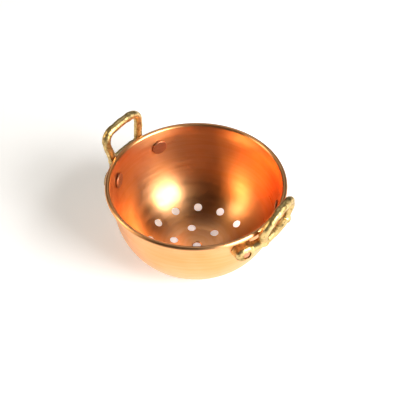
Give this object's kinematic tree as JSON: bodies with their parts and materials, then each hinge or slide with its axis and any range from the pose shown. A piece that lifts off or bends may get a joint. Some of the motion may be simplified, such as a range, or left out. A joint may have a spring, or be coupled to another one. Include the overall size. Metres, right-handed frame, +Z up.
{
  "type": "strainer bowl",
  "caption": "Small round copper strainer bowl with a rolled rim, drain holes in its floor and two riveted brass loop handles.",
  "frame": {"origin": "centre of the flat floor, on the surface that the bowl stands on", "axes": "+Z up along the bowl's axis, +X towards the right handle, -Y towards the front"},
  "size_m": [0.1687, 0.15, 0.1024],
  "materials": {
    "copper_sheet": "satin copper sheet with fine turning lines",
    "rim_wire": "plain drawn wire, hidden in the rolled rim",
    "cast_brass": "rough sand-cast yellow brass",
    "copper_rivet": "satin copper, hammered end"
  },
  "bodies": {
    "root": {"bowl": "copper_sheet", "rim_wire": "rim_wire", "handle_left": "cast_brass", "handle_right": "cast_brass", "rivet_left_front": "copper_rivet", "rivet_left_back": "copper_rivet", "rivet_right_front": "copper_rivet", "rivet_right_back": "copper_rivet"}
  },
  "joints": []
}
